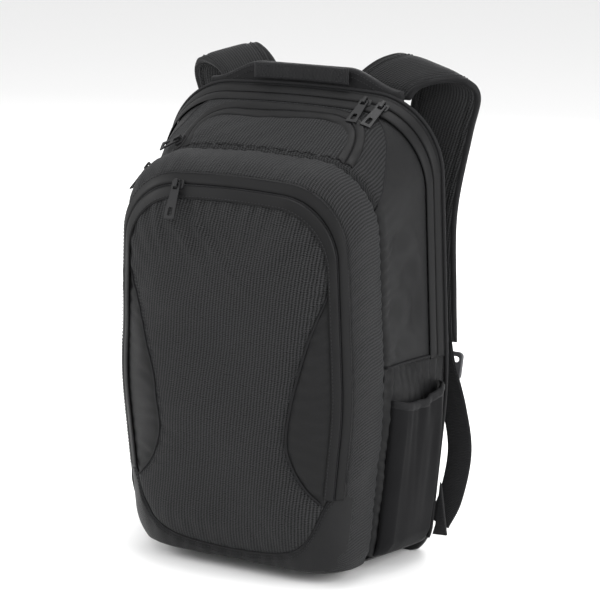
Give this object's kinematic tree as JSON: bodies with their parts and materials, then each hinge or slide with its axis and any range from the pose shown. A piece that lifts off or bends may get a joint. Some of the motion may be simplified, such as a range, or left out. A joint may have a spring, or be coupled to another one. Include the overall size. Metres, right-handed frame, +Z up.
{
  "type": "school backpack",
  "caption": "School backpack with a padded back, two shoulder straps, a main and a front compartment, zipped front and top pockets and mesh side pockets",
  "frame": {"origin": "On the underside of the bag, on its middle line, in the plane of the seam between the shell's inner depth and the floor", "axes": "+Z up, front of the bag faces -Y, back panel and straps face +Y, +X to the viewer's right when looking at the front"},
  "size_m": [0.3238, 0.2245, 0.4629],
  "materials": {
    "body_fabric": "matte",
    "plain_fabric": "matte",
    "lining": "matte",
    "zip_tape": "satin",
    "mesh": "matte",
    "air_mesh": "matte",
    "webbing": "satin",
    "metal": "gloss",
    "hardware": "satin",
    "board": "matte"
  },
  "bodies": {
    "bag": {"back_panel": "plain_fabric", "back_pad_left": "air_mesh", "back_pad_right": "air_mesh", "lumbar_pad": "air_mesh", "frame_sheet": "board", "laptop_sleeve": "lining", "strap_yoke": "plain_fabric", "side_lower_left": "body_fabric", "side_lower_right": "body_fabric", "mesh_pocket_left": "mesh", "mesh_pocket_right": "mesh", "pocket_hem_left": "webbing", "pocket_hem_right": "webbing", "base_panel": "plain_fabric", "base_board": "board", "zip_tape_rear": "zip_tape", "rear_piping": "webbing", "strap_wing_left": "plain_fabric", "strap_wing_right": "plain_fabric"},
    "main_front": {"side_upper_left": "plain_fabric", "side_upper_right": "plain_fabric", "top_panel": "body_fabric", "zip_tape_front": "zip_tape", "divider_wall": "lining", "groove_tape": "zip_tape", "top_pocket_lining": "lining", "pocket_tape": "zip_tape"},
    "compartment_front": {"front_gusset": "body_fabric", "front_zip_outer": "zip_tape", "front_zip_inner": "zip_tape", "front_centre": "body_fabric", "front_side_left": "plain_fabric", "front_side_right": "plain_fabric", "front_base": "plain_fabric"},
    "top_flap": {"flap_panel": "body_fabric", "flap_tape": "zip_tape"},
    "haul_handle": {"haul_handle": "webbing"},
    "strap_left": {"strap_pad_left": "body_fabric", "strap_webbing_left": "webbing"},
    "strap_right": {"strap_pad_right": "body_fabric", "strap_webbing_right": "webbing"},
    "ladder_lock_left": {"ladder_lock_left": "hardware"},
    "ladder_lock_right": {"ladder_lock_right": "hardware"},
    "main_slider_left": {"main_slider_left": "metal"},
    "main_slider_left_pull": {"main_slider_left_pull": "metal"},
    "main_slider_right": {"main_slider_right": "metal"},
    "main_slider_right_pull": {"main_slider_right_pull": "metal"},
    "front_slider": {"front_slider": "metal"},
    "front_slider_pull": {"front_slider_pull": "metal"},
    "compartment_slider": {"compartment_slider": "metal"},
    "compartment_slider_pull": {"compartment_slider_pull": "metal"},
    "top_slider": {"top_slider": "metal"},
    "top_slider_pull": {"top_slider_pull": "metal"}
  },
  "joints": [
    {"name": "main_opening", "type": "hinge", "parent": "bag", "child": "main_front", "pos_m": [0, -0.075, 0.0152], "axis": [1, 0, 0], "range_deg": [0, 13]},
    {"name": "compartment_opening", "type": "hinge", "parent": "main_front", "child": "compartment_front", "pos_m": [0, -0.075, 0.0152], "axis": [1, 0, 0], "range_deg": [0, 11]},
    {"name": "flap_lift", "type": "hinge", "parent": "main_front", "child": "top_flap", "pos_m": [0, -0.01765, 0.3912], "axis": [1, 0, 0], "range_deg": [0, 100]},
    {"name": "handle_tilt", "type": "hinge", "parent": "bag", "child": "haul_handle", "pos_m": [0, 0.0558, 0.44], "axis": [1, 0, 0], "range_deg": [0, 40]},
    {"name": "strap_swing_left", "type": "hinge", "parent": "bag", "child": "strap_left", "pos_m": [-0.138, 0.0745, 0.026], "axis": [0.1771, 0.0234, 0.9839], "range_deg": [-6, 6]},
    {"name": "ladder_lock_tilt_left", "type": "hinge", "parent": "strap_left", "child": "ladder_lock_left", "pos_m": [-0.12556, 0.10991, 0.15867], "axis": [-0.9982, -0.0579, 0.0156], "range_deg": [0, 25]},
    {"name": "strap_swing_right", "type": "hinge", "parent": "bag", "child": "strap_right", "pos_m": [0.138, 0.0745, 0.026], "axis": [-0.1771, 0.0234, 0.9839], "range_deg": [-6, 6]},
    {"name": "ladder_lock_tilt_right", "type": "hinge", "parent": "strap_right", "child": "ladder_lock_right", "pos_m": [0.12556, 0.10991, 0.15867], "axis": [-0.9982, 0.0579, -0.0156], "range_deg": [0, 25]},
    {"name": "main_slider_left_travel", "type": "hinge", "parent": "main_front", "child": "main_slider_left", "pos_m": [0, 0.046, -0.78503], "axis": [0, -1, 0], "range_deg": [0, 6.87]},
    {"name": "main_slider_left_pull_swing", "type": "hinge", "parent": "main_slider_left", "child": "main_slider_left_pull", "pos_m": [0.07284, 0.04376, 0.42895], "axis": [-0.9982, 0, 0.0599], "range_deg": [0, 110]},
    {"name": "main_slider_right_travel", "type": "hinge", "parent": "main_front", "child": "main_slider_right", "pos_m": [0.07029, 0.046, 0.35506], "axis": [0, 1, 0], "range_deg": [0, 38]},
    {"name": "main_slider_right_pull_swing", "type": "hinge", "parent": "main_slider_right", "child": "main_slider_right_pull", "pos_m": [0.09071, 0.04371, 0.42607], "axis": [-0.9611, 0, 0.2763], "range_deg": [0, 110]},
    {"name": "front_slider_travel", "type": "hinge", "parent": "compartment_front", "child": "front_slider", "pos_m": [0, -0.076, -0.51272], "axis": [0, 1, 0], "range_deg": [0, 6.87]},
    {"name": "front_slider_pull_swing", "type": "hinge", "parent": "front_slider", "child": "front_slider_pull", "pos_m": [-0.05249, -0.07972, 0.36212], "axis": [-0.9982, 0, -0.0599], "range_deg": [0, 110]},
    {"name": "compartment_slider_travel", "type": "hinge", "parent": "compartment_front", "child": "compartment_slider", "pos_m": [-0.05899, -0.031, 0.31829], "axis": [0, -1, 0], "range_deg": [0, 34]},
    {"name": "compartment_slider_pull_swing", "type": "hinge", "parent": "compartment_slider", "child": "compartment_slider_pull", "pos_m": [-0.1136, -0.03114, 0.36347], "axis": [-0.0218, 0.9996, 0.018], "range_deg": [0, 110]},
    {"name": "top_slider_travel", "type": "slide", "parent": "main_front", "child": "top_slider", "axis": [-0.1641, 0.8474, 0.505], "range_m": [0, 0.02]},
    {"name": "top_slider_pull_swing", "type": "hinge", "parent": "top_slider", "child": "top_slider_pull", "pos_m": [-0.0926, -0.01148, 0.38881], "axis": [-0.2339, 0.8499, 0.4721], "range_deg": [0, 110]}
  ]
}
